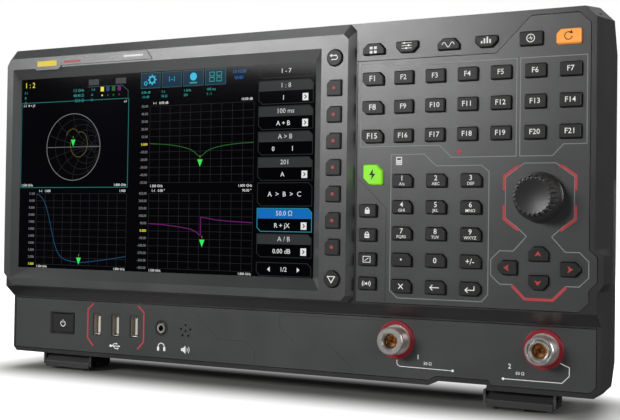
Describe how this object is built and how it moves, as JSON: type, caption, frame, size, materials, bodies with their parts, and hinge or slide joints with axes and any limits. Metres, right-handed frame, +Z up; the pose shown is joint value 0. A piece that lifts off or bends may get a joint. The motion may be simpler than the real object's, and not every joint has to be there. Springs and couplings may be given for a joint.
{
  "type": "vector network analyzer",
  "caption": "Bench vector network analyzer with a large touch display, keypad, tuning knob, two threaded coaxial ports, tilt legs and a carrying handle.",
  "frame": {"origin": "middle of the footprint, on the surface the instrument stands on", "axes": "+X to the viewer's right, the front faces -Y, +Z up"},
  "size_m": [0.4061, 0.135, 0.224],
  "materials": {
    "case_plastic": "fine textured dark grey moulding",
    "panel_plastic": "satin grey, very fine texture",
    "foot_plastic": "plain black moulding",
    "key_plastic": "soft-touch dark grey",
    "amber_plastic": "translucent amber, lit from behind",
    "lime_plastic": "translucent lime green, lit from behind",
    "knob_plastic": "satin black with a dished face",
    "black_plastic": "plain black",
    "red_plastic": "moulded red",
    "display_glass": "flat cover glass",
    "display_module": "black liquid crystal panel, lit",
    "circuit_board": "solder mask green",
    "bright_steel": "bright turned steel",
    "nickel_plate": "nickel plated",
    "gold_plate": "gold plated",
    "sheet_aluminium": "plain sheet",
    "painted_sheet": "grey powder coat on steel",
    "foot_rubber": "black rubber"
  },
  "bodies": {
    "housing": {"front_frame": "case_plastic", "rear_shell": "case_plastic", "display_bezel": "panel_plastic", "keypad_plate": "panel_plastic", "lower_panel": "panel_plastic", "touch_glass": "display_glass", "lcd_module": "display_module", "key_boards": "circuit_board", "main_board": "circuit_board", "knob_encoder": "bright_steel", "leg_pins": "bright_steel", "usb_ports": "nickel_plate", "headphone_jack": "black_plastic", "port_connectors": "nickel_plate", "port_contacts": "gold_plate", "port_rings": "red_plastic", "rear_panel": "painted_sheet", "rubber_feet": "foot_rubber", "rear_bnc_jacks": "nickel_plate", "data_ports": "nickel_plate", "mains_inlet": "black_plastic", "fan_frame": "black_plastic", "chassis": "sheet_aluminium", "rf_module": "sheet_aluminium", "power_supply": "sheet_aluminium"},
    "mode_key": {"mode_key": "key_plastic"},
    "mode_setup_key": {"mode_setup_key": "key_plastic"},
    "measure_key": {"measure_key": "key_plastic"},
    "measure_setup_key": {"measure_setup_key": "key_plastic"},
    "auto_key": {"auto_key": "key_plastic"},
    "preset_key": {"preset_key": "amber_plastic"},
    "quick_key": {"quick_key": "lime_plastic"},
    "side_keys": {"side_keys": "key_plastic"},
    "arrow_up_key": {"arrow_up_key": "key_plastic"},
    "arrow_down_key": {"arrow_down_key": "key_plastic"},
    "arrow_left_key": {"arrow_left_key": "key_plastic"},
    "arrow_right_key": {"arrow_right_key": "key_plastic"},
    "function_keys_1": {"function_keys_1": "key_plastic"},
    "function_keys_2": {"function_keys_2": "key_plastic"},
    "function_keys_3": {"function_keys_3": "key_plastic"},
    "number_keys_1": {"number_keys_1": "key_plastic"},
    "number_keys_2": {"number_keys_2": "key_plastic"},
    "number_keys_3": {"number_keys_3": "key_plastic"},
    "number_keys_4": {"number_keys_4": "key_plastic"},
    "number_keys_5": {"number_keys_5": "key_plastic"},
    "soft_key_1": {"soft_key_1": "key_plastic"},
    "soft_key_2": {"soft_key_2": "key_plastic"},
    "soft_key_3": {"soft_key_3": "key_plastic"},
    "soft_key_4": {"soft_key_4": "key_plastic"},
    "soft_key_5": {"soft_key_5": "key_plastic"},
    "soft_key_6": {"soft_key_6": "key_plastic"},
    "soft_key_7": {"soft_key_7": "key_plastic"},
    "return_key": {"return_key": "key_plastic"},
    "page_key": {"page_key": "key_plastic"},
    "power_key": {"power_key": "key_plastic"},
    "tuning_knob": {"tuning_knob": "knob_plastic"},
    "fan_rotor": {"fan_rotor": "black_plastic"},
    "left_tilt_leg": {"left_tilt_leg": "foot_plastic"},
    "right_tilt_leg": {"right_tilt_leg": "foot_plastic"},
    "carry_handle": {"carry_handle": "case_plastic"}
  },
  "joints": [
    {"name": "mode_key_press", "type": "slide", "parent": "housing", "child": "mode_key", "axis": [0, 1, 0], "range_m": [0, 0.0012], "stiffness_N_per_m": 300},
    {"name": "mode_setup_key_press", "type": "slide", "parent": "housing", "child": "mode_setup_key", "axis": [0, 1, 0], "range_m": [0, 0.0012], "stiffness_N_per_m": 300},
    {"name": "measure_key_press", "type": "slide", "parent": "housing", "child": "measure_key", "axis": [0, 1, 0], "range_m": [0, 0.0012], "stiffness_N_per_m": 300},
    {"name": "measure_setup_key_press", "type": "slide", "parent": "housing", "child": "measure_setup_key", "axis": [0, 1, 0], "range_m": [0, 0.0012], "stiffness_N_per_m": 300},
    {"name": "auto_key_press", "type": "slide", "parent": "housing", "child": "auto_key", "axis": [0, 1, 0], "range_m": [0, 0.0012], "stiffness_N_per_m": 300},
    {"name": "preset_key_press", "type": "slide", "parent": "housing", "child": "preset_key", "axis": [0, 1, 0], "range_m": [0, 0.0012], "stiffness_N_per_m": 300},
    {"name": "quick_key_press", "type": "slide", "parent": "housing", "child": "quick_key", "axis": [0, 1, 0], "range_m": [0, 0.0012], "stiffness_N_per_m": 300},
    {"name": "side_keys_press", "type": "slide", "parent": "housing", "child": "side_keys", "axis": [0, 1, 0], "range_m": [0, 0.0012], "stiffness_N_per_m": 300},
    {"name": "arrow_up_key_press", "type": "slide", "parent": "housing", "child": "arrow_up_key", "axis": [0, 1, 0], "range_m": [0, 0.0012], "stiffness_N_per_m": 300},
    {"name": "arrow_down_key_press", "type": "slide", "parent": "housing", "child": "arrow_down_key", "axis": [0, 1, 0], "range_m": [0, 0.0012], "stiffness_N_per_m": 300},
    {"name": "arrow_left_key_press", "type": "slide", "parent": "housing", "child": "arrow_left_key", "axis": [0, 1, 0], "range_m": [0, 0.0012], "stiffness_N_per_m": 300},
    {"name": "arrow_right_key_press", "type": "slide", "parent": "housing", "child": "arrow_right_key", "axis": [0, 1, 0], "range_m": [0, 0.0012], "stiffness_N_per_m": 300},
    {"name": "function_keys_1_press", "type": "slide", "parent": "housing", "child": "function_keys_1", "axis": [0, 1, 0], "range_m": [0, 0.0012], "stiffness_N_per_m": 300},
    {"name": "function_keys_2_press", "type": "slide", "parent": "housing", "child": "function_keys_2", "axis": [0, 1, 0], "range_m": [0, 0.0012], "stiffness_N_per_m": 300},
    {"name": "function_keys_3_press", "type": "slide", "parent": "housing", "child": "function_keys_3", "axis": [0, 1, 0], "range_m": [0, 0.0012], "stiffness_N_per_m": 300},
    {"name": "number_keys_1_press", "type": "slide", "parent": "housing", "child": "number_keys_1", "axis": [0, 1, 0], "range_m": [0, 0.0012], "stiffness_N_per_m": 300},
    {"name": "number_keys_2_press", "type": "slide", "parent": "housing", "child": "number_keys_2", "axis": [0, 1, 0], "range_m": [0, 0.0012], "stiffness_N_per_m": 300},
    {"name": "number_keys_3_press", "type": "slide", "parent": "housing", "child": "number_keys_3", "axis": [0, 1, 0], "range_m": [0, 0.0012], "stiffness_N_per_m": 300},
    {"name": "number_keys_4_press", "type": "slide", "parent": "housing", "child": "number_keys_4", "axis": [0, 1, 0], "range_m": [0, 0.0012], "stiffness_N_per_m": 300},
    {"name": "number_keys_5_press", "type": "slide", "parent": "housing", "child": "number_keys_5", "axis": [0, 1, 0], "range_m": [0, 0.0012], "stiffness_N_per_m": 300},
    {"name": "soft_key_1_press", "type": "slide", "parent": "housing", "child": "soft_key_1", "axis": [0, 1, 0], "range_m": [0, 0.0012], "stiffness_N_per_m": 300},
    {"name": "soft_key_2_press", "type": "slide", "parent": "housing", "child": "soft_key_2", "axis": [0, 1, 0], "range_m": [0, 0.0012], "stiffness_N_per_m": 300},
    {"name": "soft_key_3_press", "type": "slide", "parent": "housing", "child": "soft_key_3", "axis": [0, 1, 0], "range_m": [0, 0.0012], "stiffness_N_per_m": 300},
    {"name": "soft_key_4_press", "type": "slide", "parent": "housing", "child": "soft_key_4", "axis": [0, 1, 0], "range_m": [0, 0.0012], "stiffness_N_per_m": 300},
    {"name": "soft_key_5_press", "type": "slide", "parent": "housing", "child": "soft_key_5", "axis": [0, 1, 0], "range_m": [0, 0.0012], "stiffness_N_per_m": 300},
    {"name": "soft_key_6_press", "type": "slide", "parent": "housing", "child": "soft_key_6", "axis": [0, 1, 0], "range_m": [0, 0.0012], "stiffness_N_per_m": 300},
    {"name": "soft_key_7_press", "type": "slide", "parent": "housing", "child": "soft_key_7", "axis": [0, 1, 0], "range_m": [0, 0.0012], "stiffness_N_per_m": 300},
    {"name": "return_key_press", "type": "slide", "parent": "housing", "child": "return_key", "axis": [0, 1, 0], "range_m": [0, 0.0012], "stiffness_N_per_m": 300},
    {"name": "page_key_press", "type": "slide", "parent": "housing", "child": "page_key", "axis": [0, 1, 0], "range_m": [0, 0.0012], "stiffness_N_per_m": 300},
    {"name": "power_key_press", "type": "slide", "parent": "housing", "child": "power_key", "axis": [0, 1, 0], "range_m": [0, 0.0012], "stiffness_N_per_m": 300},
    {"name": "tuning_knob_turn", "type": "hinge", "parent": "housing", "child": "tuning_knob", "pos_m": [0.1692, -0.058, 0.1181], "axis": [0, -1, 0], "continuous": true},
    {"name": "fan_rotor_turn", "type": "hinge", "parent": "housing", "child": "fan_rotor", "pos_m": [-0.15, 0.048, 0.1], "axis": [0, 1, 0], "continuous": true},
    {"name": "left_tilt_leg_fold", "type": "hinge", "parent": "housing", "child": "left_tilt_leg", "pos_m": [-0.1566, -0.038, 0.0062], "axis": [-1, 0, 0], "range_deg": [0, 100]},
    {"name": "right_tilt_leg_fold", "type": "hinge", "parent": "housing", "child": "right_tilt_leg", "pos_m": [0.1566, -0.038, 0.0062], "axis": [-1, 0, 0], "range_deg": [0, 100]},
    {"name": "carry_handle_lift", "type": "hinge", "parent": "housing", "child": "carry_handle", "pos_m": [0, 0.0245, 0.211], "axis": [1, 0, 0], "range_deg": [0, 90]}
  ]
}
